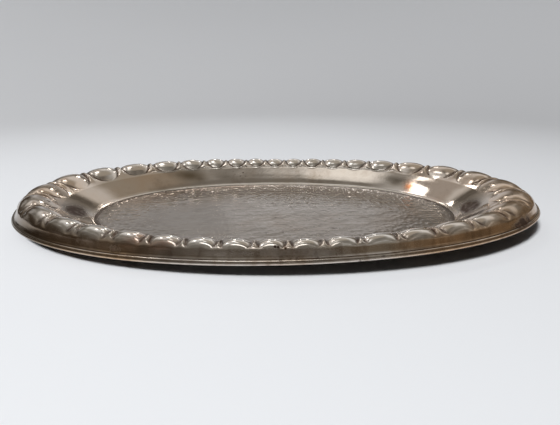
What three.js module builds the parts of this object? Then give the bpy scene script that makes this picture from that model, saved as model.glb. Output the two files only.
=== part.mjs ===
// Oval serving tray, millimetres, +Z up, resting on the underside of its floor at z = 0.
// One copper sheet is raised into a flat floor, a sloping wall and a hollow bossed border,
// and its edge is rolled outwards over a stiffening wire.
import * as THREE from 'three';
import { mergeVertices } from 'three/addons/utils/BufferGeometryUtils.js';

// Driving dimensions
const HALF_LENGTH = 225; // tray centre to the outside of the rolled edge, along X
const HALF_WIDTH = 135; // the same along Y
const SHEET = 0.7; // sheet thickness
const OVAL_POWER = 2.06; // 2 is a true ellipse, more is squarer
const BOSSES = 36; // raised bosses round the border
const FIRST_BOSS = 1.4; // degrees from +X to the middle of the first boss
const ROLL_RADIUS = 1.7; // outside radius of the rolled edge
const ROLL_HEIGHT = 12; // height of the roll's centre above the table
const WIRE_RADIUS = 0.7; // leaves 0.3 mm between the wire and the inside of the roll
const WIRE_SIDES = 6;
const MITRE_LIMIT = 0.75; // keeps a sharp corner's mitre under 4/3 of the sheet thickness

// The border of this hand-raised tray isn't quite level: it rises towards +X and is twisted.
const BORDER_TILT = 0.0087; // rise per mm along X
const BORDER_TWIST = -0.000086; // rise per mm along X and mm along Y

// Stations of the sheet's upper face, from the floor outwards. end and side are the distances
// from the tray's centre along X and Y, endZ and sideZ the heights there, boss is how much of
// the boss pattern shows, border is how much of the border's tilt and twist is felt, and square
// is 1 where the sides of the bosses cross the border square to the oval.
const STATIONS = [
  { end: 156.5, side: 88.5, endZ: SHEET, sideZ: SHEET, boss: 0, border: 0, square: 0 }, // flat floor
  { end: 161, side: 92.5, endZ: 2.6, sideZ: 2.6, boss: 0, border: 0.1, square: 0 }, // foot of the wall
  { end: 186.5, side: 113, endZ: 18, sideZ: 17.8, boss: 0.3, border: 0.9, square: 1 }, // top of the wall
  { end: 193.5, side: 118, endZ: 22.6, sideZ: 20.7, boss: 0.8, border: 0.6, square: 1 }, // inner shoulder
  { end: 203.5, side: 124.3, endZ: 26.3, sideZ: 22.8, boss: 1, border: 0.4, square: 1 }, // crest
  { end: 213.5, side: 128.4, endZ: 24.4, sideZ: 22, boss: 0.8, border: 0.5, square: 1 }, // outer shoulder
  { end: 219.4, side: 130.4, endZ: 20.2, sideZ: 20, boss: 0.2, border: 0.8, square: 1 }, // top of the skirt
  { end: 221.2, side: 131.2, endZ: 14.2, sideZ: 14.2, boss: 0, border: 1, square: 0 }, // foot of the skirt
];
const CREST = STATIONS[4];
const ROLL = { boss: 0, border: 1, square: 0 }; // the rolled edge and its wire have no bosses

// Samples across one boss and one rib, as fractions of the pitch from the boss's middle,
// and the lift of each: the boss is proud, a groove lies each side of it, and a rib follows.
const PITCH_SAMPLES = [
  { at: 0, lift: 1.7 },
  { at: 0.36, lift: -1.3 },
  { at: 0.5, lift: 0 },
  { at: 0.64, lift: -1.3 },
];

// Points of the roll, as angles round its centre: out over the wire, under it and back.
const ROLL_ANGLES = [128, 64, 0, -56, -112, -168];

const rad = THREE.MathUtils.degToRad;

// One section through the sheet's upper face, as points across (distance out) and up (height).
function upperSection(across, height, halfWidth) {
  const points = STATIONS.map((s) => new THREE.Vector2(s[across], s[height]));
  for (const angle of ROLL_ANGLES) {
    const a = rad(angle);
    points.push(new THREE.Vector2(
      halfWidth - ROLL_RADIUS + ROLL_RADIUS * Math.cos(a),
      ROLL_HEIGHT + ROLL_RADIUS * Math.sin(a),
    ));
  }
  return points;
}

// The same section moved one sheet thickness to its lower side, with mitred corners.
function lowerSection(points) {
  return points.map((point, i) => {
    const before = i > 0 ? points[i].clone().sub(points[i - 1]).normalize() : new THREE.Vector2(1, 0);
    const after = i < points.length - 1 ? points[i + 1].clone().sub(point).normalize() : before;
    const along = before.clone().add(after).normalize();
    const down = new THREE.Vector2(along.y, -along.x);
    const mitre = SHEET / Math.max(MITRE_LIMIT, along.dot(after));
    return point.clone().addScaledVector(down, mitre);
  });
}

// Rings of the sheet, upper face outwards and then lower face back to the floor.
function sheetRings() {
  const end = upperSection('end', 'endZ', HALF_LENGTH);
  const side = upperSection('side', 'sideZ', HALF_WIDTH);
  const endLow = lowerSection(end);
  const sideLow = lowerSection(side);
  const upper = end.map((p, i) => ring(p, side[i], STATIONS[i] ?? ROLL));
  const lower = endLow.map((p, i) => ring(p, sideLow[i], STATIONS[i] ?? ROLL));
  lower[0].endZ = 0;
  lower[0].sideZ = 0;
  return upper.concat(lower.reverse());
}

function ring(end, side, { boss, border, square }) {
  return { end: end.x, side: side.x, endZ: end.y, sideZ: side.y, boss, border, square };
}

// Angles round the tray, with the lift of the boss pattern at each.
function turnSamples() {
  const samples = [];
  for (let k = 0; k < BOSSES; k += 1) {
    for (const { at, lift } of PITCH_SAMPLES) {
      samples.push({ angle: rad(FIRST_BOSS) + ((k + at) * 2 * Math.PI) / BOSSES, lift });
    }
  }
  return samples;
}

// How far an oval ring lies from the centre in the direction of an angle.
function reachOf(r, angle) {
  const x = Math.abs(Math.cos(angle) / r.end);
  const y = Math.abs(Math.sin(angle) / r.side);
  return (x ** OVAL_POWER + y ** OVAL_POWER) ** (-1 / OVAL_POWER);
}

// The angle at which a line that crosses the crest at the given angle meets a ring, when the
// line runs square to the crest instead of along a ray from the centre.
function squareAngle(r, angle) {
  const reach = reachOf(CREST, angle);
  const x = reach * Math.cos(angle);
  const y = reach * Math.sin(angle);
  const power = OVAL_POWER - 1;
  const normalX = (Math.sign(x) * Math.abs(x / CREST.end) ** power) / CREST.end;
  const normalY = (Math.sign(y) * Math.abs(y / CREST.side) ** power) / CREST.side;
  const turned = Math.atan2(normalY * x - normalX * y, normalX * x + normalY * y);
  return angle + ((reachOf(r, angle) - reach) * Math.sin(turned) * Math.cos(turned)) / reach;
}

// A point of an oval ring at an angle, with the lift of the boss pattern there.
function ovalPoint(r, { angle, lift }) {
  const turned = angle + r.square * (squareAngle(r, angle) - angle);
  const c = Math.cos(turned);
  const s = Math.sin(turned);
  const reach = reachOf(r, turned);
  const x = reach * c;
  const y = reach * s;
  const outOfLevel = r.border * (BORDER_TILT * x + BORDER_TWIST * x * y);
  return [x, y, r.sideZ + (r.endZ - r.sideZ) * c * c + r.boss * lift + outOfLevel];
}

// A closed mesh through rings that go round the tray. With a floor the first and last rings
// are filled in flat; without one the last ring joins the first.
function ovalMesh(name, rings, floor, material) {
  const turns = turnSamples();
  const positions = rings.flatMap((r) => turns.flatMap((turn) => ovalPoint(r, turn)));
  const count = turns.length;
  const faces = [];
  const last = floor ? rings.length - 1 : rings.length;
  for (let i = 0; i < last; i += 1) {
    const inner = i * count;
    const outer = ((i + 1) % rings.length) * count;
    for (let j = 0; j < count; j += 1) {
      const k = (j + 1) % count;
      faces.push(inner + j, outer + j, outer + k, inner + j, outer + k, inner + k);
    }
  }
  if (floor) {
    const top = rings.length * count;
    const bottom = top + 1;
    positions.push(0, 0, rings[0].sideZ, 0, 0, rings[rings.length - 1].sideZ);
    const under = (rings.length - 1) * count;
    for (let j = 0; j < count; j += 1) {
      const k = (j + 1) % count;
      faces.push(top, j, k, bottom, under + k, under + j);
    }
  }
  const geometry = new THREE.BufferGeometry();
  geometry.setAttribute('position', new THREE.Float32BufferAttribute(positions, 3));
  geometry.setIndex(faces);
  const merged = mergeVertices(geometry);
  merged.computeVertexNormals();
  const mesh = new THREE.Mesh(merged, material);
  mesh.name = name;
  return mesh;
}

// The stiffening wire, a closed oval ring inside the roll.
function wireRings() {
  const rings = [];
  for (let i = 0; i < WIRE_SIDES; i += 1) {
    const a = (-2 * Math.PI * i) / WIRE_SIDES;
    const out = WIRE_RADIUS * Math.cos(a) - ROLL_RADIUS;
    const z = ROLL_HEIGHT + WIRE_RADIUS * Math.sin(a);
    rings.push(ring(new THREE.Vector2(HALF_LENGTH + out, z), new THREE.Vector2(HALF_WIDTH + out, z), ROLL));
  }
  return rings;
}

const tinnedCopper = new THREE.MeshStandardMaterial({ color: 0x8c8278, roughness: 0.32, metalness: 1 });
const wireMetal = new THREE.MeshStandardMaterial({ color: 0x6b6661, roughness: 0.45, metalness: 1 });

const tray = new THREE.Group();
tray.add(ovalMesh('tray_sheet', sheetRings(), true, tinnedCopper));
tray.add(ovalMesh('rim_wire', wireRings(), false, wireMetal));

export default tray;
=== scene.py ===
import math

import bpy
import numpy as np
from mathutils import Matrix, Vector


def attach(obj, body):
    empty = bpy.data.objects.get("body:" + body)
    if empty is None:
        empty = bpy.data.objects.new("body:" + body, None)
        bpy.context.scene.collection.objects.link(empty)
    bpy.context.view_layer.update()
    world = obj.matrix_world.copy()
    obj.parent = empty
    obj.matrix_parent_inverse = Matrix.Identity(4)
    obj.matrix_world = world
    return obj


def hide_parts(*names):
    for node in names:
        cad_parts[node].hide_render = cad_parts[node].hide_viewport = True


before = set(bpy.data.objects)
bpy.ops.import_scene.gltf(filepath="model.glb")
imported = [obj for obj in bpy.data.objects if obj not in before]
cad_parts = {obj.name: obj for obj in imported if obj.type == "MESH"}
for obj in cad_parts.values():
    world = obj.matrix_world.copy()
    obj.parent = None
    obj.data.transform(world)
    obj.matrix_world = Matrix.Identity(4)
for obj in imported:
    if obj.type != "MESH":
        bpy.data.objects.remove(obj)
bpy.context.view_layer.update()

# All shapes are worked out in millimetres and turned into metres when a mesh is made.
MM = 0.001
SEED = 11

# The oval, its bosses and the out-of-level border are the CAD part's own.
HALF_LENGTH = 225.0
HALF_WIDTH = 135.0
OVAL_POWER = 2.06
BORDER_TILT = 0.0087
BORDER_TWIST = -0.000086
SHEET = 0.7
BOSSES = 36
FIRST_BOSS = math.radians(1.4)

# What this finer mesh adds of its own.
CREST = (203.5, 123.1)  # half length and half width of the oval along the bosses' crest
TURNS = 1440  # steps round the tray, 40 to each boss and rib
WALL_STEPS = 26  # steps up the wall, its two ends included
BORDER_ROWS = 56  # rings across the border
EDGE_INSET = 0.15  # keeps the rolled edge just inside the CAD part's box

# Sections of the sheet's upper face, each row (end, side, endZ, sideZ, border): distances from
# the tray's centre along X and Y, the heights there, and the share of the border's tilt.
FOOT = [  # the chased line at the edge of the hammered floor, a narrow fillet, and the wall's start
    (158.9, 90.6, 1.65, 1.65, 0.03),
    (159.2, 90.9, 1.54, 1.54, 0.04),
    (159.45, 91.15, 1.58, 1.58, 0.05),
    (159.7, 91.35, 1.9, 1.9, 0.06),
    (160.0, 91.6, 2.1, 2.1, 0.07),
    (160.9, 92.4, 2.4, 2.4, 0.09),
    (161.8, 93.2, 2.72, 2.72, 0.1),
    (162.4, 93.7, 3.07, 3.07, 0.11),
    (163.2, 94.4, 3.62, 3.64, 0.14),
]
WALL = [
    (165.0, 95.9, 4.85, 4.9, 0.22),
    (172.0, 101.5, 9.25, 9.2, 0.5),
    (180.0, 107.8, 13.95, 13.9, 0.75),
]
DISH = 0.92  # rise of the floor towards the chased line
GROOVE_AT, GROOVE_REACH = 159.4, 0.25  # the chased line, as a distance along X, and its half width
FILLET_AT, FILLET_REACH = 160.8, 1.1  # the fillet at the foot of the wall, polished and given a painted highlight, likewise
# Across the border: how far across it is, from 0 to 1; the bottom of a groove, the top of a rib
# and the top of a boss, each (end, side, endZ, sideZ); a boss's half width as a share of the
# pitch; and the share of the border's tilt.
BORDER = [
    (0.0, (184.6, 111.4, 16.8, 16.6), (184.6, 111.4, 16.8, 16.6), (184.6, 111.4, 16.8, 16.6), 0.03, 0.88),
    (0.1, (188.2, 113.6, 18.5, 17.8), (188.3, 113.8, 18.8, 18.0), (187.6, 113.2, 18.9, 18.2), 0.17, 0.78),
    (0.25, (193.0, 116.6, 20.6, 19.1), (192.9, 116.9, 21.7, 20.0), (192.4, 116.1, 22.8, 20.7), 0.31, 0.6),
    (0.4, (198.0, 119.9, 22.6, 20.2), (198.0, 119.9, 24.6, 21.7), (198.0, 119.6, 25.9, 22.5), 0.385, 0.48),
    (0.55, (203.5, 123.0, 24.0, 20.8), (203.6, 123.1, 26.2, 22.7), (203.6, 123.1, 27.5, 23.7), 0.42, 0.4),
    (0.7, (208.8, 125.8, 23.8, 20.9), (209.0, 126.1, 25.9, 22.5), (209.3, 126.2, 27.0, 23.5), 0.405, 0.45),
    (0.82, (213.2, 127.8, 22.6, 20.7), (213.8, 128.0, 24.2, 21.7), (214.2, 128.2, 25.0, 22.5), 0.385, 0.55),
    (0.92, (216.4, 129.1, 21.4, 20.5), (216.8, 129.2, 22.1, 20.9), (217.0, 129.3, 22.6, 21.4), 0.36, 0.7),
    (1.0, (218.9, 129.95, 20.3, 20.2), (218.9, 129.95, 20.3, 20.2), (218.9, 129.95, 20.3, 20.2), 0.33, 0.8),
]
# From the skirt to the roll: distance inside the rolled edge, and height.
EDGE = [
    (4.35, 18.9), (3.85, 17.4), (3.35, 15.9), (3.05, 15.0), (2.8, 14.5), (2.5, 14.15),
    (2.3, 13.8), (2.18, 13.52), (2.0, 13.5), (1.75, 13.68), (1.4, 13.7), (1.05, 13.52),
    (0.75, 13.18), (0.6, 12.85), (0.58, 12.66), (0.42, 12.5), (0.2, 12.25), (0.04, 11.9),
    (0.0, 11.5), (0.12, 11.1), (0.42, 10.72), (0.85, 10.45), (1.3, 10.36), (1.7, 10.35),
    (2.15, 10.42), (2.53, 10.6), (2.87, 10.85), (3.13, 11.2), (3.3, 11.65),
]
SKIRT_LEAN = (0.95, 0.7, 0.42, 0.2)  # how much further in its first rows lie at the ends
# From inside the roll back up under the skirt, in the same terms.
EDGE_LOWER = [
    (2.62, 11.76), (2.52, 11.52), (2.17, 11.18), (1.7, 11.05), (1.22, 11.18), (0.88, 11.52),
    (0.75, 12.0), (0.88, 12.47), (1.22, 12.82), (1.7, 12.95), (2.1, 12.98), (2.6, 13.2),
    (3.2, 13.6), (3.75, 14.2), (4.2, 15.3), (4.65, 17.1), (5.1, 18.7),
]

# Hand work: how much the bosses differ, and how far the wall and the edge wander, in mm.
PHASE_JITTER, WIDTH_JITTER, HEIGHT_JITTER = 0.018, 0.03, 0.05
WALL_WANDER, EDGE_WANDER = 0.12, 0.1
EDGE_ROOM = 0.12  # how much further in the edge lies, so that it can wander
WIDEST_BOSS = 0.455  # half a boss's width as a share of the pitch, at most
# The margin outside the scalloped ridge: its width as a share of the border's, its depth, and
# how far the ridge stands up, in mm.
MARGIN_WIDTH, MARGIN_DEPTH, MARGIN_LIP = 0.04, 0.6, 0.25
# The groove round a boss, as a share of the pitch, and what it gains along the tray's sides.
CREASE_WIDTH, CREASE_SPREAD = 0.04, 0.035
HAMMER_PITCH, SMALL_PITCH = 8.0, 4.8  # spacing of the hammer's large and small marks along Y
MARK_STRETCH = 0.6  # their spacing along X as a share of that
MARK_DEPTH = 0.6  # where the height between two marks levels off
MARK_CELLS = 400  # cells a side in the grid of marks, more than the floor needs
UNDERSIDE_INSET = 0.985  # where the flat underside begins, as a share of its edge


def hermite(t, h, start, start_slope, end, end_slope):
    """A smooth curve over a step of length h, where t goes from 0 at start to 1 at end."""
    return (
        (2 * t**3 - 3 * t**2 + 1) * start
        + (t**3 - 2 * t**2 + t) * h * start_slope
        + (3 * t**2 - 2 * t**3) * end
        + (t**3 - t**2) * h * end_slope
    )


def steps(points, count):
    """Evenly spaced points on a smooth curve through the given rows."""
    points = np.array(points, float)
    span = np.linalg.norm(np.diff(points[:, :4], axis=0), axis=1)
    at = np.concatenate([[0], np.cumsum(span)])
    slopes = np.gradient(points, at, axis=0)
    where = np.linspace(0, at[-1], count)
    i = np.clip(np.searchsorted(at, where, side="right") - 1, 0, len(at) - 2)
    h = (at[i + 1] - at[i])[:, None]
    t = (where - at[i])[:, None] / h
    return hermite(t, h, points[i], slopes[i], points[i + 1], slopes[i + 1])


def curve(at, values, where):
    """A smooth curve through values given at points, looked up at where."""
    values = np.array(values, float)
    slope = np.gradient(values, at)
    i = np.clip(np.searchsorted(at, where, side="right") - 1, 0, len(at) - 2)
    at = np.array(at)
    h = at[i + 1] - at[i]
    t = (where - at[i]) / h
    return hermite(t, h, values[i], slope[i], values[i + 1], slope[i + 1])


def smooth(lo, hi, v):
    """0 below lo, 1 above hi, and a smooth step between."""
    t = np.clip((v - lo) / (hi - lo), 0, 1)
    return t * t * (3 - 2 * t)


def reach_of(end, side, c, s):
    """How far an oval lies from the centre in the direction (c, s)."""
    return (np.abs(c / end) ** OVAL_POWER + np.abs(s / side) ** OVAL_POWER) ** (-1 / OVAL_POWER)


def place(end, side, end_z, side_z, border, angle):
    """Points of oval rings in the direction of angle; all arguments broadcast."""
    c, s = np.cos(angle), np.sin(angle)
    reach = reach_of(end, side, c, s)
    x, y = reach * c, reach * s
    z = side_z + (end_z - side_z) * c * c + border * (BORDER_TILT * x + BORDER_TWIST * x * y)
    return np.stack(np.broadcast_arrays(x, y, z), -1)


def square(end, side, angle, share=1.0):
    """Angles that carry a line across the border square to the oval instead of along a ray."""
    c, s = np.cos(angle), np.sin(angle)
    reach = reach_of(*CREST, c, s)
    along = np.sign(c) * np.abs(c * reach / CREST[0]) ** (OVAL_POWER - 1) / CREST[0]
    across = np.sign(s) * np.abs(s * reach / CREST[1]) ** (OVAL_POWER - 1) / CREST[1]
    turned = np.arctan2(across * c - along * s, along * c + across * s)
    here = reach_of(end, side, c, s)
    return angle + share * (here - reach) * np.sin(turned) * np.cos(turned) / reach


def wobble(angle, rng, waves, low=2):
    """A small random function of angle that closes on itself, about -1 to 1."""
    total = np.zeros_like(angle)
    for k in range(low, low + waves):
        total += rng.normal() * np.cos(k * angle + rng.uniform(0, 2 * np.pi))
    return total / math.sqrt(waves)


rng = np.random.default_rng(SEED)
angle = np.arange(TURNS) * 2 * np.pi / TURNS
sideways = np.abs(np.sin(angle))  # 0 at the ends of the tray, 1 at the middle of its sides

# Well wall: rings from the groove at the edge of the floor to the foot of the border.
border_foot, border_end = BORDER[0][1], BORDER[-1][1]
wall = steps(FOOT[-1:] + WALL + [border_foot + (BORDER[0][5],)], WALL_STEPS)[1:-1]
well = np.concatenate([FOOT, wall])
push = WALL_WANDER * wobble(angle, rng, 14)
pushed = smooth(FOOT[0][0], FOOT[-1][0], well[:, None, 0]) * push
squared = smooth(FOOT[-1][0], border_foot[0], well[:, None, 0])
well_turned = square(*border_foot[:2], angle, squared)
well_part = place(
    well[:, None, 0] + pushed, well[:, None, 1] + pushed,
    well[:, None, 2], well[:, None, 3], well[:, None, 4], well_turned,
)

# Border: bosses and ribs, each boss a little different as hand work is.
at = [row[0] for row in BORDER]
t = np.linspace(0, 1, BORDER_ROWS) ** 1.15
valley, rib, boss = (
    np.stack([curve(at, [row[k][i] for row in BORDER], t) for i in range(4)], 1)
    for k in (1, 2, 3)
)
half = np.maximum(curve(at, [row[4] for row in BORDER], t), 0.02)
border_share = curve(at, [row[5] for row in BORDER], t)

turn = (angle - FIRST_BOSS) / (2 * np.pi) * BOSSES
number = np.round(turn).astype(int) % BOSSES
phase = turn - np.round(turn)
# place, width and height of each boss; the fourth row is drawn and not used
jitter = np.clip(rng.normal(size=(4, BOSSES)), -1.5, 1.5)
phase = phase + PHASE_JITTER * jitter[0][number] * (1 - (2 * phase) ** 2)
fuller = np.interp(t, (0, 0.1, 0.25, 0.4, 0.55, 1), (0, 0.1, 0.06, 0.02, 0, 0))
width = half[:, None] + fuller[:, None] * np.cos(angle) ** 2
width = np.minimum(width * (1 + WIDTH_JITTER * jitter[1][number]), WIDEST_BOSS)
u = np.abs(phase) / width
fullness = 2.0 + 0.3 * np.cos(angle) ** 2  # the long bosses at the ends have flatter tops
dome = np.where(u < 1, np.clip(1 - u**fullness, 0, 1) ** 0.75, 0)
dome = dome * (1 + HEIGHT_JITTER * jitter[2][number])
beside = np.clip((0.5 - np.abs(phase)) / (0.5 - width), 0, 1)
ridge = np.where(u >= 1, 1 - beside**1.4, 0)
# A scalloped ridge where the wall meets the border, with a narrow margin outside it.
scallop = 0.01 + 0.13 * (1 - np.sqrt(1 - 0.92 * (2 * np.abs(phase)) ** 2))
beyond = (t[:, None] - scallop) / MARGIN_WIDTH
margin = MARGIN_DEPTH * smooth(0.4, 1.0, beyond) * (1 - smooth(1.1, 2.2, beyond))
margin = margin - MARGIN_LIP * smooth(-0.5, 0.1, beyond) * (1 - smooth(0.2, 0.6, beyond))
margin = margin * smooth(0.4, 0.75, sideways)  # it dies away at the ends of the tray

rows = []
for across, up in ((0, 2), (1, 3)):
    flat, tall = (
        valley[:, None, k]
        + dome * (boss - valley)[:, None, k]
        + ridge * (rib - valley)[:, None, k]
        for k in (across, up)
    )
    rows.append((flat + 0.4 * margin, tall - margin))
border_part = place(
    rows[0][0] + push * (1 - t[:, None]), rows[1][0] + push * (1 - t[:, None]),
    rows[0][1], rows[1][1], border_share[:, None],
    square(valley[:, None, 0], valley[:, None, 1], angle),
)
crease_reach = CREASE_WIDTH + CREASE_SPREAD * sideways
crease = 1 - np.clip(np.abs(np.abs(phase) - width) / crease_reach, 0, 1) ** 2
crease = crease * (smooth(0.03, 0.12, t) * (1 - smooth(0.85, 1.0, t)))[:, None]

# Skirt, flange and roll.
edge = np.array(EDGE)
lean = np.zeros((len(EDGE), 1))
lean[:len(SKIRT_LEAN), 0] = SKIRT_LEAN
edge_push = EDGE_WANDER * wobble(angle, rng, 12) - EDGE_ROOM
share = np.concatenate([[0.9, 0.96], np.ones(len(EDGE) - 2)])  # of the border's tilt
edge_part = place(
    HALF_LENGTH - EDGE_INSET - edge[:, None, 0] - lean + edge_push,
    HALF_WIDTH - EDGE_INSET - edge[:, None, 0] + edge_push,
    edge[:, None, 1], edge[:, None, 1], share[:, None],
    square(*border_end[:2], angle, smooth(14.0, border_end[3], edge[:, None, 1])),
)
upper = np.concatenate([well_part, border_part, edge_part])

# Lower face: one sheet thickness under the upper one, then the inside of the roll.
body = np.concatenate([well_part, border_part])
down = np.cross(np.gradient(body, axis=0), np.roll(body, -1, 1) - np.roll(body, 1, 1))
down /= np.linalg.norm(down, axis=2, keepdims=True)
under = body - SHEET * down
under[..., 2] = np.maximum(under[..., 2], 0)
under[0, :, 2] = 0
low = np.array(EDGE_LOWER)
low_part = place(
    HALF_LENGTH - EDGE_INSET - low[:, None, 0] + edge_push,
    HALF_WIDTH - EDGE_INSET - low[:, None, 0] + edge_push,
    low[:, None, 1], low[:, None, 1], 1.0,
    square(*border_end[:2], angle, smooth(13.5, low[-1, 1] + 0.5, low[:, None, 1])),
)
coarse_under = under[::-2]  # the hidden face needs only every second ring
lower = np.concatenate([low_part, coarse_under])
if not np.allclose(coarse_under[-1], under[0]):
    lower = np.concatenate([lower, under[:1]])

# Floor: a square grid wrapped onto the oval, dimpled by the hammer.
GRID = TURNS // 4
axis = np.linspace(-1, 1, GRID + 1)
gx, gy = np.meshgrid(axis, axis, indexing="ij")
wide = np.abs(gx) >= np.abs(gy)
with np.errstate(divide="ignore", invalid="ignore"):
    radius = np.where(wide, gx, gy)
    turn_in = np.where(wide, np.pi / 4 * gy / gx, np.pi / 2 - np.pi / 4 * gx / gy)
turn_in = np.where(np.isnan(turn_in), 0, turn_in)
floor_angle = np.where(radius < 0, turn_in + np.pi, turn_in)
floor_radius = np.abs(radius)
floor = place(*FOOT[0][:2], 0.0, 0.0, 0.0, floor_angle) * floor_radius[..., None]


def dimples(x, y, pitch, rng):
    """Squared distance to the nearest of a jittered grid of hammer marks, in pitches."""
    jit = rng.uniform(0.15, 0.85, (MARK_CELLS, MARK_CELLS, 2))
    u, v = x / (pitch * MARK_STRETCH) + MARK_CELLS / 2, y / pitch + MARK_CELLS / 2
    i, j = np.floor(u).astype(int), np.floor(v).astype(int)
    best = np.full(x.shape, 9.0)
    for di in (-1, 0, 1):
        for dj in (-1, 0, 1):
            spot = jit[(i + di) % MARK_CELLS, (j + dj) % MARK_CELLS]
            away = (i + di + spot[..., 0] - u) ** 2 + (j + dj + spot[..., 1] - v) ** 2
            best = np.minimum(best, away)
    return best


def waves(x, y, rng, lengths):
    """Smooth random undulation of the given wavelengths, about -1 to 1."""
    total = np.zeros_like(x)
    for length in lengths:
        a = rng.uniform(0, np.pi)
        total += np.sin((x * np.cos(a) + y * np.sin(a)) * 2 * np.pi / length + rng.uniform(0, 6.3))
    return total / math.sqrt(len(lengths))


fx, fy = floor[..., 0], floor[..., 1]
rim = smooth(0.6, 0.93, floor_radius) * (0.35 + 0.65 * smooth(-40, 60, fy))
worked = smooth(-20, 60, fy) * smooth(-60, 30, fx)  # struck harder towards the back and +X
strength = 0.11 + 0.85 * np.maximum(rim, 0.5 * worked)
large = dimples(fx + 0.8 * waves(fx, fy, rng, (9, 13)), fy, HAMMER_PITCH, rng)
small = dimples(fx, fy, SMALL_PITCH, rng)
hammer = strength * np.clip(large, 0, MARK_DEPTH) + strength * np.clip(small, 0, MARK_DEPTH)
hammer += 0.05 * waves(fx, fy, rng, (17, 23, 31, 44)) + 0.02 * waves(fx, fy, rng, (7, 8, 11, 12))
fade = 1 - smooth(0.99, 1.0, floor_radius)
dish = np.clip((floor_radius - 0.955) / 0.045, 0, 1)
floor[..., 2] = FOOT[0][2] - DISH + DISH * (0.5 * dish + 0.5 * dish**2) + hammer * fade
floor[..., 2] += FOOT[0][4] * (BORDER_TILT * fx + BORDER_TWIST * fx * fy) * dish


def boundary(n):
    """Grid corners round the edge of the floor, in the order of the ring's angles."""
    half_side = n // 2
    right = [(n, j) for j in range(half_side, n)]
    top = [(i, n) for i in range(n, 0, -1)]
    left = [(0, j) for j in range(n, 0, -1)]
    bottom = [(i, 0) for i in range(0, n)]
    return right + top + left + bottom + [(n, j) for j in range(0, half_side)]


def ring_quads(first, second):
    return np.stack([first, second, np.roll(second, -1), np.roll(first, -1)], 1)


points = [floor.reshape(-1, 3)]
index = np.arange(floor[..., 0].size).reshape(floor.shape[:2])
corners = [index[:-1, :-1], index[1:, :-1], index[1:, 1:], index[:-1, 1:]]
quads = [np.stack(corners, -1).reshape(-1, 4)]
rim_index = np.array([index[i, j] for i, j in boundary(GRID)])
base = index.size
sheet_rows = np.concatenate([upper[1:], lower])
points.append(sheet_rows.reshape(-1, 3))
previous = rim_index
for i in range(len(sheet_rows)):
    ring = base + i * TURNS + np.arange(TURNS)
    quads.append(ring_quads(previous, ring))
    previous = ring
# The flat underside: one more ring just inside the edge, then one face.
inner = sheet_rows[-1].copy()
inner[:, :2] *= UNDERSIDE_INSET
points.append(inner)
ring = base + len(sheet_rows) * TURNS + np.arange(TURNS)
quads.append(ring_quads(previous, ring))
points = np.concatenate(points)
quads = np.concatenate(quads)

# How the sheet's regions differ: each is a 0 to 1 value on the mesh that the material reads.
MASKS = (
    "floor", "recess", "polish_and_sheen", "skirt", "olive_shade_and_reflection", "warm", "stain_and_shade", "copper", "under", "wall",
)
masks = {name: np.zeros(len(points)) for name in MASKS}
px, py, pz = points.T
count_floor = index.size
well_stop = count_floor + (len(well_part) - 1) * TURNS  # the floor holds the well's first ring
border_stop = well_stop + BORDER_ROWS * TURNS
edge_stop = border_stop + len(EDGE) * TURNS
floor_points = slice(0, count_floor)
well_points = slice(count_floor, well_stop)
border_points = slice(well_stop, border_stop)
edge_points = slice(border_stop, edge_stop)
outer_points = slice(count_floor, count_floor + len(sheet_rows) * TURNS)
well_x = well[1:, 0]


def by_row(values):
    """One value for each ring, given to every point of it."""
    return np.repeat(values, TURNS)


masks["floor"][floor_points] = 1
masks["wall"][well_points] = by_row(smooth(162.5, 164.5, well_x))
# The underside is made dark: painted shade for the gap under the rim, on a dull oxidised face.
masks["under"][edge_stop + len(low_part) * TURNS:] = 1

# Dirt and painted shade darken the grooves: round the bosses, under the flange, and at the floor's edge.
masks["recess"][border_points] = np.maximum(crease, np.clip(margin, 0, 1)).ravel()
masks["recess"][edge_points] = by_row([
    1.0 if 2.0 <= inside <= 2.35 and z > 13 else 0.8 if 12.5 <= z <= 12.9 and inside < 0.65 else 0.0
    for inside, z in EDGE
])
masks["recess"][well_points] = by_row((np.abs(well_x - GROOVE_AT) < GROOVE_REACH) * 1.0)
masks["recess"][floor_points] = (0.75 * smooth(0.974, 0.988, floor_radius)).ravel()

# Wear polishing with painted highlights lightens what stands out: the fillet, the ridge, the domes and the
# flange.
fillet = by_row((np.abs(well_x - FILLET_AT) < FILLET_REACH) * 1.0)
masks["polish_and_sheen"][well_points] = fillet * (1 - smooth(110, 145, np.abs(px[well_points])))
domes = 0.6 * dome * smooth(0.2, 0.8, sideways)
masks["polish_and_sheen"][border_points] = np.maximum(np.clip(-3.5 * margin, 0, 1), domes).ravel()
masks["polish_and_sheen"][edge_points] = by_row([1.0 if z > 13.6 and inside < 1.9 else 0.0 for inside, z in EDGE])

# The skirt carries streaks and, at the -X end, a painted dark reflection; the +X end is browner.
row_number = np.arange(len(sheet_rows))
skirt = smooth(0.8, 1.0, row_number / (len(well_part) + BORDER_ROWS + 4))
skirt = by_row(skirt * (row_number < len(upper)))
masks["skirt"][outer_points] = skirt
masks["olive_shade_and_reflection"] = 0.95 * masks["skirt"] * smooth(-110, -190, px)
masks["warm"] = smooth(60, 215, px) * 0.5 + 0.2 * smooth(-120, -215, px)
masks["warm"][outer_points] += skirt * 0.9 * smooth(50, 110, np.abs(px[outer_points] - 10))
golden = np.exp(-(((px + 125) / 50) ** 2 + ((py - 70) / 36) ** 2))
masks["warm"] += 0.55 * golden * masks["wall"]
masks["warm"][floor_points] *= 0.4
back_left = smooth(-20, 60, fy) * smooth(30, -50, fx)
masks["warm"][floor_points] += (0.7 * smooth(0.8, 0.95, floor_radius) * back_left).ravel()
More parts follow.
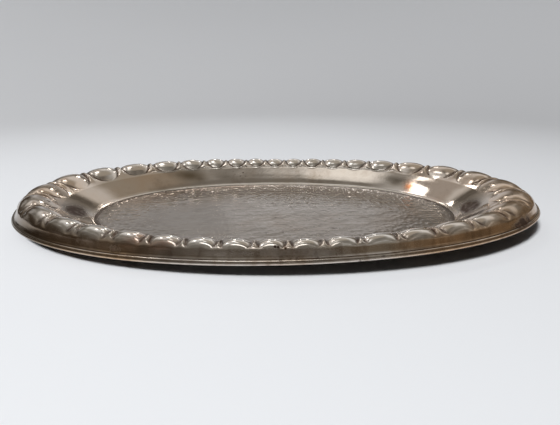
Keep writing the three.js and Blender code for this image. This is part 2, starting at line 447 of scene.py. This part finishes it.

# Marks of use, and painted shade and painted reflections among them, each (place, reach, strength), with
# the first two in millimetres.
MARKS = {
    "stain_and_shade": [
        ((183, -76, 18.0), (6, 6, 2.6), 2.2),  # dark corrosion low on the skirt at the +X end
        ((177, -82, 17.4), (4, 4, 2.2), 1.3),
        ((190, -69, 18), (4, 4, 2.2), 1.3),
        ((172, -85, 17.3), (1.6, 1.6, 1.6), 0.9),
        ((160, -95, 15.5), (1.2, 1.2, 1.2), 0.8),
        ((19, -132, 14.9), (1.0, 1.0, 0.9), 1.0),  # pits along the front flange
        ((32, -131, 14.8), (0.9, 0.9, 0.8), 1.0),
        ((9, -133, 13.2), (0.9, 0.9, 0.8), 0.9),
        ((73, -127, 14.3), (1.0, 1.0, 0.9), 0.9),
        ((58, -130, 12.3), (0.8, 0.8, 0.8), 0.9),
        ((-42, -132, 14.6), (0.9, 0.9, 0.9), 0.8),
        ((-184, -37, 21.6), (1.5, 1.5, 1.5), 1.0),
        ((-169, -27, 8.5), (8, 12, 4.5), 2.6),  # painted shade in the ends of the well
        ((171, -15, 9.0), (8, 11, 4.8), 2.6),
        ((-100, -118, 14.2), (2.2, 2.2, 2), 0.85),
        ((-96, -119.5, 14.0), (1.5, 1.5, 1.5), 0.8),
        ((51, -43, 1), (3, 1.5, 2), 0.85),
        ((9, -52, 1), (1.2, 1.0, 2), 0.85),
        ((-4, -54, 1), (1.2, 1.0, 2), 0.85),
        ((21, -131, 17.8), (40, 3, 2.5), 0.6),
    ],
    "olive_shade_and_reflection": [
        ((-96, 90, 12.0), (17, 9, 6), 0.85),  # painted dark reflections on the back wall
        ((-86, 89, 9.5), (10, 5, 3.5), 0.6),
        ((-60, 96, 13.0), (14, 6, 5), 0.5),
        ((-20, 100, 14.5), (20, 5, 4), 0.45),
        ((126, 71, 9.5), (7, 6, 6), 0.6),
        ((-110, 62, 2), (16, 7, 3), 0.5),
        ((-173, -22, 11.0), (8, 15, 7), 0.9),  # the shaded ends of the well
        ((174, -10, 11.0), (8, 13, 7), 0.9),
    ],
    "copper": [
        ((-87, -119, 20.6), (6, 4, 3), 0.8),  # tin worn through on the front bosses
        ((-82, -116, 22.2), (4, 3, 2), 0.6),
        ((-67, -124, 20.8), (7, 3, 3), 0.85),
        ((-62, -124, 21.2), (4, 3, 2), 0.6),
        ((137, 61, 8.0), (4.5, 6, 8), 0.9),
        ((-62, -131, 15.2), (14, 2, 2), 0.45),
    ],
}
for name, marks in MARKS.items():
    for spot, reach, amount in marks:
        away = sum(((v - c) / r) ** 2 for v, c, r in zip((px, py, pz), spot, reach))
        masks[name] = np.maximum(masks[name], amount * np.exp(-away))


def add_mesh(name, verts, quads, extra_faces=()):
    """A smooth shaded mesh from points in millimetres, quads and faces with more sides."""
    mesh = bpy.data.meshes.new(name)
    verts = np.asarray(verts, float) * MM
    mesh.vertices.add(len(verts))
    mesh.vertices.foreach_set("co", verts.astype(np.float32).ravel())
    loops = [quads.ravel()] + [np.asarray(f) for f in extra_faces]
    sizes = np.concatenate([np.full(len(quads), 4), [len(f) for f in extra_faces]]).astype(int)
    flat = np.concatenate(loops).astype(np.int32)
    mesh.loops.add(len(flat))
    mesh.loops.foreach_set("vertex_index", flat)
    mesh.polygons.add(len(sizes))
    starts = np.concatenate([[0], np.cumsum(sizes)[:-1]])
    mesh.polygons.foreach_set("loop_start", starts.astype(np.int32))
    mesh.update(calc_edges=True)
    mesh.validate()
    mesh.shade_smooth()
    obj = bpy.data.objects.new(name, mesh)
    bpy.context.scene.collection.objects.link(obj)
    return obj


tray = add_mesh("tray", points, quads, [ring])
for name, values in masks.items():
    layer = tray.data.attributes.new(name, "FLOAT", "POINT")
    layer.data.foreach_set("value", np.clip(values, 0, 1).astype(np.float32))
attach(tray, "root")
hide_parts("tray_sheet")


# Materials
class Nodes:
    """Shorthand for building a node tree."""

    def __init__(self, tree):
        self.tree = tree
        tree.nodes.clear()

    def add(self, kind, inputs=None, **settings):
        made = self.tree.nodes.new(kind)
        for key, value in settings.items():
            setattr(made, key, value)
        for key, value in (inputs or {}).items():
            if isinstance(value, bpy.types.NodeSocket):
                self.tree.links.new(value, made.inputs[key])
            else:
                made.inputs[key].default_value = value
        return made

    def math(self, operation, a, b=0.5, clamp=False):
        made = self.add("ShaderNodeMath", {0: a, 1: b}, operation=operation, use_clamp=clamp)
        return made.outputs[0]

    def noise(self, where, scale, detail=4.0, rough=0.55):
        made = self.add("ShaderNodeTexNoise", {"Vector": where, "Scale": scale, "Detail": detail,
                                               "Roughness": rough})
        return made.outputs["Fac"]

    def span(self, value, lo, hi, out_lo=0.0, out_hi=1.0):
        made = self.add("ShaderNodeMapRange", {"Value": value, "From Min": lo, "From Max": hi,
                                               "To Min": out_lo, "To Max": out_hi})
        made.interpolation_type = "SMOOTHSTEP"
        return made.outputs["Result"]

    def mix(self, factor, a, b):
        made = self.add("ShaderNodeMix", data_type="RGBA")
        for socket, value in ((made.inputs[0], factor), (made.inputs[6], a), (made.inputs[7], b)):
            if isinstance(value, bpy.types.NodeSocket):
                self.tree.links.new(value, socket)
            else:
                socket.default_value = value
        return made.outputs[2]

    def mask(self, name):
        return self.add("ShaderNodeAttribute", attribute_name=name).outputs["Fac"]


TIN, WARM_TIN = (0.62, 0.56, 0.5, 1), (0.6, 0.42, 0.275, 1)
WALL_TIN, DULL_TIN = (0.42, 0.36, 0.3, 1), (0.3, 0.235, 0.175, 1)
# The polished tin colour is lighter: wear on the high points, with a painted highlight on them.
FLOOR_TIN, POLISH_AND_HIGHLIGHT_TIN = (0.39, 0.345, 0.31, 1), (0.85, 0.82, 0.77, 1)
BARE_COPPER = (0.62, 0.27, 0.13, 1)
# The first colour here is dirt and dark pits, and also painted shade in the grooves.
# The third colour here is dark brown for painted dark reflections on the wall, floor and skirt and painted
# shade in the ends of the well.
GRIME_AND_SHADE, STREAK, OLIVE_SHADE_AND_REFLECTION = (0.06, 0.026, 0.01, 1), (0.2, 0.13, 0.075, 1), (0.13, 0.095, 0.055, 1)
# The first colour here is dark corrosion, also used as painted shade in the ends of the well.
# The underside colour is dark oxide, and painted shade that keeps the gap under the rim black.
CORROSION_AND_SHADE, UNDERSIDE = (0.035, 0.015, 0.007, 1), (0.035, 0.028, 0.022, 1)
STREAK_STRETCH = (1.0, 1.0, 0.08)  # streaks run down the skirt
BARE_OF_METAL = (0.6, 0.95, 1.0, 0.3)  # thick corrosion and painted shade, from and to, and the metal left


def tinned_copper():
    """Worn tin over copper, read from the mesh's masks."""
    material = bpy.data.materials.new("tinned_copper")
    material.use_nodes = True
    n = Nodes(material.node_tree)
    where = n.add("ShaderNodeTexCoord").outputs["Object"]

    # colour, from the tin outwards to what lies on it
    cloud = n.noise(where, 14.0, 5.0, 0.6)
    tone = n.math("ADD", n.mask("warm"), n.span(cloud, 0.35, 0.75, -0.25, 0.45), clamp=True)
    colour = n.mix(tone, TIN, WARM_TIN)
    colour = n.mix(n.math("MULTIPLY", n.mask("wall"), 0.5), colour, WALL_TIN)
    patch = n.noise(where, 34.0, 6.0, 0.62)
    colour = n.mix(n.span(patch, 0.48, 0.75, 0.0, 0.6), colour, DULL_TIN)
    colour = n.mix(n.math("MULTIPLY", n.mask("floor"), 0.6), colour, FLOOR_TIN)
    uneven = n.noise(where, 240.0, 4.0, 0.6)
    wear = n.math("MULTIPLY", n.mask("copper"), n.span(uneven, 0.3, 0.6, 0.5, 1.25), clamp=True)
    colour = n.mix(wear, colour, BARE_COPPER)
    thick = n.span(n.noise(where, 90.0, 5.0), 0.25, 0.6, 0.55, 1.0)
    # Painted shade with dirt: darker in the grooves, the chased line and the floor's edge.
    grime_and_shade = n.math("MULTIPLY", n.mask("recess"), thick)
    colour = n.mix(grime_and_shade, colour, GRIME_AND_SHADE)
    # Painted highlight with wear polishing: lighter tin on the fillet, ridge, domes and flange.
    colour = n.mix(n.math("MULTIPLY", n.mask("polish_and_sheen"), 0.85), colour, POLISH_AND_HIGHLIGHT_TIN)
    run = n.add("ShaderNodeVectorMath", {0: where, 1: STREAK_STRETCH}, operation="MULTIPLY")
    run = run.outputs[0]
    streaks = n.span(n.noise(run, 200.0, 2.0, 0.5), 0.45, 0.72, 0.0, 0.42)
    colour = n.mix(n.math("MULTIPLY", n.mask("skirt"), streaks), colour, STREAK)
    ragged = n.span(uneven, 0.32, 0.66, 0.65, 1.3)
    stain_and_shade = n.math("MULTIPLY", n.mask("stain_and_shade"), ragged, clamp=True)
    # Painted dark reflections on the back wall, the floor behind and the -X end of the skirt, and painted
    # shade in the ends of the well.
    colour = n.mix(n.mask("olive_shade_and_reflection"), colour, OLIVE_SHADE_AND_REFLECTION)
    # Dark corrosion and pits, and painted shade in the ends of the well.
    colour = n.mix(stain_and_shade, colour, CORROSION_AND_SHADE)
    cells = n.add("ShaderNodeTexVoronoi", {"Vector": where, "Scale": 170.0}, feature="F1")
    pits = n.span(cells.outputs["Distance"], 0.1, 0.2, 1.0, 0.0)
    pits = n.math("MULTIPLY", pits, n.span(n.noise(where, 25.0, 3.0), 0.6, 0.7))
    colour = n.mix(pits, colour, GRIME_AND_SHADE)
    # Painted shade under the rim: the underside is dark oxide, nearly black.
    colour = n.mix(n.mask("under"), colour, UNDERSIDE)

    # how polished the surface is: smoothest on the wall, dull underneath, and duller on dirt, stains and
    # painted shade
    rough = n.span(n.noise(where, 45.0, 6.0, 0.65), 0.3, 0.75, 0.1, 0.2)
    rough = n.math("ADD", rough, n.math("MULTIPLY", n.mask("floor"), 0.02))
    dirt_and_shade = n.math("MAXIMUM", grime_and_shade, stain_and_shade)
    rough = n.math("ADD", rough, n.math("MULTIPLY", dirt_and_shade, 0.22), clamp=True)
    rough = n.math("SUBTRACT", rough, n.math("MULTIPLY", n.mask("wall"), 0.07))
    rough = n.math("ADD", rough, n.math("MULTIPLY", n.mask("under"), 0.35), clamp=True)
    rough = n.math("ADD", rough, n.math("MULTIPLY", stain_and_shade, 0.3), clamp=True)

    # dents too small for the mesh
    fine = n.noise(where, 420.0, 3.0, 0.6)
    dents = n.noise(where, 75.0, 3.0, 0.5)
    height = n.math("ADD", n.math("MULTIPLY", fine, 0.12), n.math("MULTIPLY", dents, 0.6))
    height = n.math("SUBTRACT", height, n.math("MULTIPLY", pits, 0.3))
    bump = n.add("ShaderNodeBump", {"Strength": 0.3, "Distance": 0.0003, "Height": height})
    metal = n.span(stain_and_shade, *BARE_OF_METAL)
    shader = n.add("ShaderNodeBsdfPrincipled", {"Base Color": colour, "Metallic": metal,
                                                "Roughness": rough, "Normal": bump.outputs[0]})
    n.add("ShaderNodeOutputMaterial", {"Surface": shader.outputs[0]})
    return material


def wire_metal():
    """Dull iron with a little rust."""
    material = bpy.data.materials.new("wire")
    material.use_nodes = True
    n = Nodes(material.node_tree)
    where = n.add("ShaderNodeTexCoord").outputs["Object"]
    rust = n.noise(where, 120.0, 5.0)
    colour = n.mix(n.span(rust, 0.4, 0.7), (0.2, 0.18, 0.16, 1), (0.16, 0.075, 0.035, 1))
    shader = n.add("ShaderNodeBsdfPrincipled", {"Base Color": colour, "Metallic": 0.8,
                                                "Roughness": n.span(rust, 0.3, 0.7, 0.4, 0.7)})
    n.add("ShaderNodeOutputMaterial", {"Surface": shader.outputs[0]})
    return material


def give(obj, material):
    obj.data.materials.clear()
    obj.data.materials.append(material)


give(tray, tinned_copper())
give(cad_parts["rim_wire"], wire_metal())


# Stage: a pale floor that sweeps up into a backdrop all round, in metres.
DISC_RADIUS, TABLE_RADIUS = 0.5, 0.85
SWEEP_RADIUS, BACKDROP_TOP, SWEEP_STEPS = 1.3, 2.4, 28
# The far tone is painted shade: the floor and backdrop grow darker away from the tray.
NEAR_PALE, FAR_PALE_SHADE = (0.81, 0.815, 0.83, 1), (0.69, 0.69, 0.7, 1)


def pale(name):
    """Matt white with painted shade: it greys slightly away from the tray."""
    material = bpy.data.materials.new(name)
    material.use_nodes = True
    n = Nodes(material.node_tree)
    where = n.add("ShaderNodeTexCoord").outputs["Object"]
    out = n.add("ShaderNodeVectorMath", {0: where}, operation="LENGTH").outputs["Value"]
    colour = n.mix(n.span(out, 0.3, 1.0), NEAR_PALE, FAR_PALE_SHADE)
    shader = n.add("ShaderNodeBsdfPrincipled", {"Base Color": colour, "Roughness": 0.75,
                                                "Specular IOR Level": 0.2})
    n.add("ShaderNodeOutputMaterial", {"Surface": shader.outputs[0]})
    return material


def lathe(name, profile, filled=False, count=96):
    """A round surface from a profile of (radius, height); filled closes its first ring."""
    a = np.arange(count) * 2 * np.pi / count
    ring_at = np.arange(count)
    verts = np.concatenate([
        np.stack([r * np.cos(a), r * np.sin(a), np.full(count, float(z))], 1) for r, z in profile
    ])
    quads = np.concatenate([
        ring_quads(i * count + ring_at, (i + 1) * count + ring_at) for i in range(len(profile) - 1)
    ])
    return add_mesh(name, verts / MM, quads, [ring_at] if filled else [])


floor_disc = lathe("floor", [(DISC_RADIUS, 0.0), (TABLE_RADIUS, 0.0)], filled=True)
sweep = [
    (TABLE_RADIUS + SWEEP_RADIUS * math.sin(a), SWEEP_RADIUS - SWEEP_RADIUS * math.cos(a))
    for a in np.linspace(0, math.pi / 2, SWEEP_STEPS)
]
backdrop = lathe("backdrop", sweep + [(TABLE_RADIUS + SWEEP_RADIUS, BACKDROP_TOP)])
for piece in (floor_disc, backdrop):
    give(piece, pale(piece.name))
backdrop.visible_glossy = False
backdrop.visible_diffuse = False
backdrop.visible_shadow = False

# The room that the metal mirrors, as a sky. Diffuse surfaces get an even dim light from it
# instead, so the pale floor is lit mostly by the softbox.
world = bpy.data.worlds.new("room")
bpy.context.scene.world = world
world.use_nodes = True
n = Nodes(world.node_tree)
direction = n.add("ShaderNodeTexCoord").outputs["Generated"]
axes = n.add("ShaderNodeSeparateXYZ", {0: direction}).outputs


def toward(azimuth, elevation):
    """Direction of a thing seen from the tray; azimuth is from +Y towards +X, in degrees."""
    a, e = math.radians(azimuth), math.radians(elevation)
    return Vector((math.sin(a) * math.cos(e), math.cos(a) * math.cos(e), math.sin(e)))


def lobe(centre, inner, outer, amount=1.0):
    """1 near a direction, falling to 0 outside a cone; angles in degrees."""
    near = n.add("ShaderNodeVectorMath", {0: direction, 1: centre}, operation="DOT_PRODUCT")
    edge_cos, core_cos = math.cos(math.radians(outer)), math.cos(math.radians(inner))
    return n.span(near.outputs["Value"], edge_cos, core_cos, 0.0, amount)


# low down: dark at -X, browner at +X, with a pale wall behind the tray
right = n.span(axes[0], -0.6, 0.9)
low = n.mix(right, (0.07, 0.055, 0.04, 1), (0.2, 0.16, 0.115, 1))
low_sky = n.mix(lobe(toward(-8, 10), 17, 31), low, (0.64, 0.645, 0.66, 1))
sky = n.mix(n.span(axes[2], 0.2, 0.55), low_sky, (0.27, 0.257, 0.235, 1))
# things in the room, dark and pale
things = n.noise(direction, 2.6, 4.0, 0.6)
sky = n.mix(n.span(things, 0.5, 0.62, 0.0, 0.55), sky, (0.07, 0.06, 0.05, 1))
sky = n.mix(n.span(things, 0.46, 0.34, 0.0, 0.4), sky, (0.85, 0.86, 0.87, 1))
# a bright band high at the back, and single patches in it, bright and dull
band = n.math("MULTIPLY", n.span(axes[2], 0.57, 0.65), n.span(axes[2], 0.79, 0.88, 1.0, 0.0))
band = n.math("MULTIPLY", band, n.span(axes[1], 0.1, 0.45, 0.0, 0.85))
sky = n.mix(band, sky, (0.92, 0.92, 0.92, 1))
sky = n.mix(lobe(toward(-70, 62), 6, 17, 0.7), sky, (0.85, 0.86, 0.87, 1))
sky = n.mix(lobe(toward(21, 68), 8, 20), sky, (0.43, 0.395, 0.345, 1))
sky = n.mix(lobe(toward(-28, 52), 6, 14), sky, (0.55, 0.51, 0.48, 1))
sky = n.mix(lobe(toward(-36, 80.5), 2, 7), sky, (1.45, 1.46, 1.45, 1))
even = n.add("ShaderNodeLightPath").outputs["Is Diffuse Ray"]
sky = n.mix(even, sky, (0.028, 0.029, 0.031, 1))
background = n.add("ShaderNodeBackground", {"Color": sky, "Strength": 1.0})
n.add("ShaderNodeOutputWorld", {"Surface": background.outputs[0]})


def soft_light(name, azimuth, elevation, distance, size, radiance, colour=(1, 1, 1)):
    """A square light facing the tray from the given direction."""
    way = toward(azimuth, elevation)
    data = bpy.data.lights.new(name, "AREA")
    data.shape = "RECTANGLE"
    data.size, data.size_y = size
    data.color = colour
    data.energy = radiance * math.pi * size[0] * size[1]
    light = bpy.data.objects.new(name, data)
    light.location = way * distance
    light.rotation_mode = "QUATERNION"
    light.rotation_quaternion = way.to_track_quat("Z", "Y")
    bpy.context.scene.collection.objects.link(light)
    return light


# Five lights that show as highlights in the metal, and a softbox that casts the shadow unseen.
soft_light("window", -32, 64, 1.6, (0.25, 0.25), 3.4)
soft_light("ceiling", -165, 66, 2.0, (0.9, 0.5), 2.0)
soft_light("lamp", -12, 35, 1.6, (0.09, 0.09), 14.0)
soft_light("right lamp", 7, 37, 1.6, (0.09, 0.09), 9.0)
soft_light("left lamp", -70, 58, 1.6, (0.14, 0.14), 7.0)
soft = soft_light("softbox", -150, 49, 3.5, (0.6, 0.6), 116.0, (0.97, 0.985, 1.0))
soft.visible_glossy = False

# Camera
CAMERA_PLACE = (0.0148, -0.3769, 0.1269)
CAMERA_PITCH, CAMERA_YAW, CAMERA_ROLL = -0.3253, 0.0241, 0.0062
camera_data = bpy.data.cameras.new("camera")
camera_data.lens = 28.09
camera_data.sensor_width = 36.0
camera = bpy.data.objects.new("camera", camera_data)
turned = (
    Matrix.Rotation(CAMERA_YAW, 3, "Z")
    @ Matrix.Rotation(CAMERA_PITCH, 3, "X")
    @ Matrix.Rotation(CAMERA_ROLL, 3, "Y")
)
right_axis, forward, up = turned.col
aim = Matrix((right_axis, up, -forward)).transposed().to_4x4()
camera.matrix_world = Matrix.Translation(CAMERA_PLACE) @ aim
bpy.context.scene.collection.objects.link(camera)
bpy.context.scene.camera = camera
bpy.context.scene.view_settings.view_transform = "Standard"
bpy.context.scene.view_settings.look = "None"
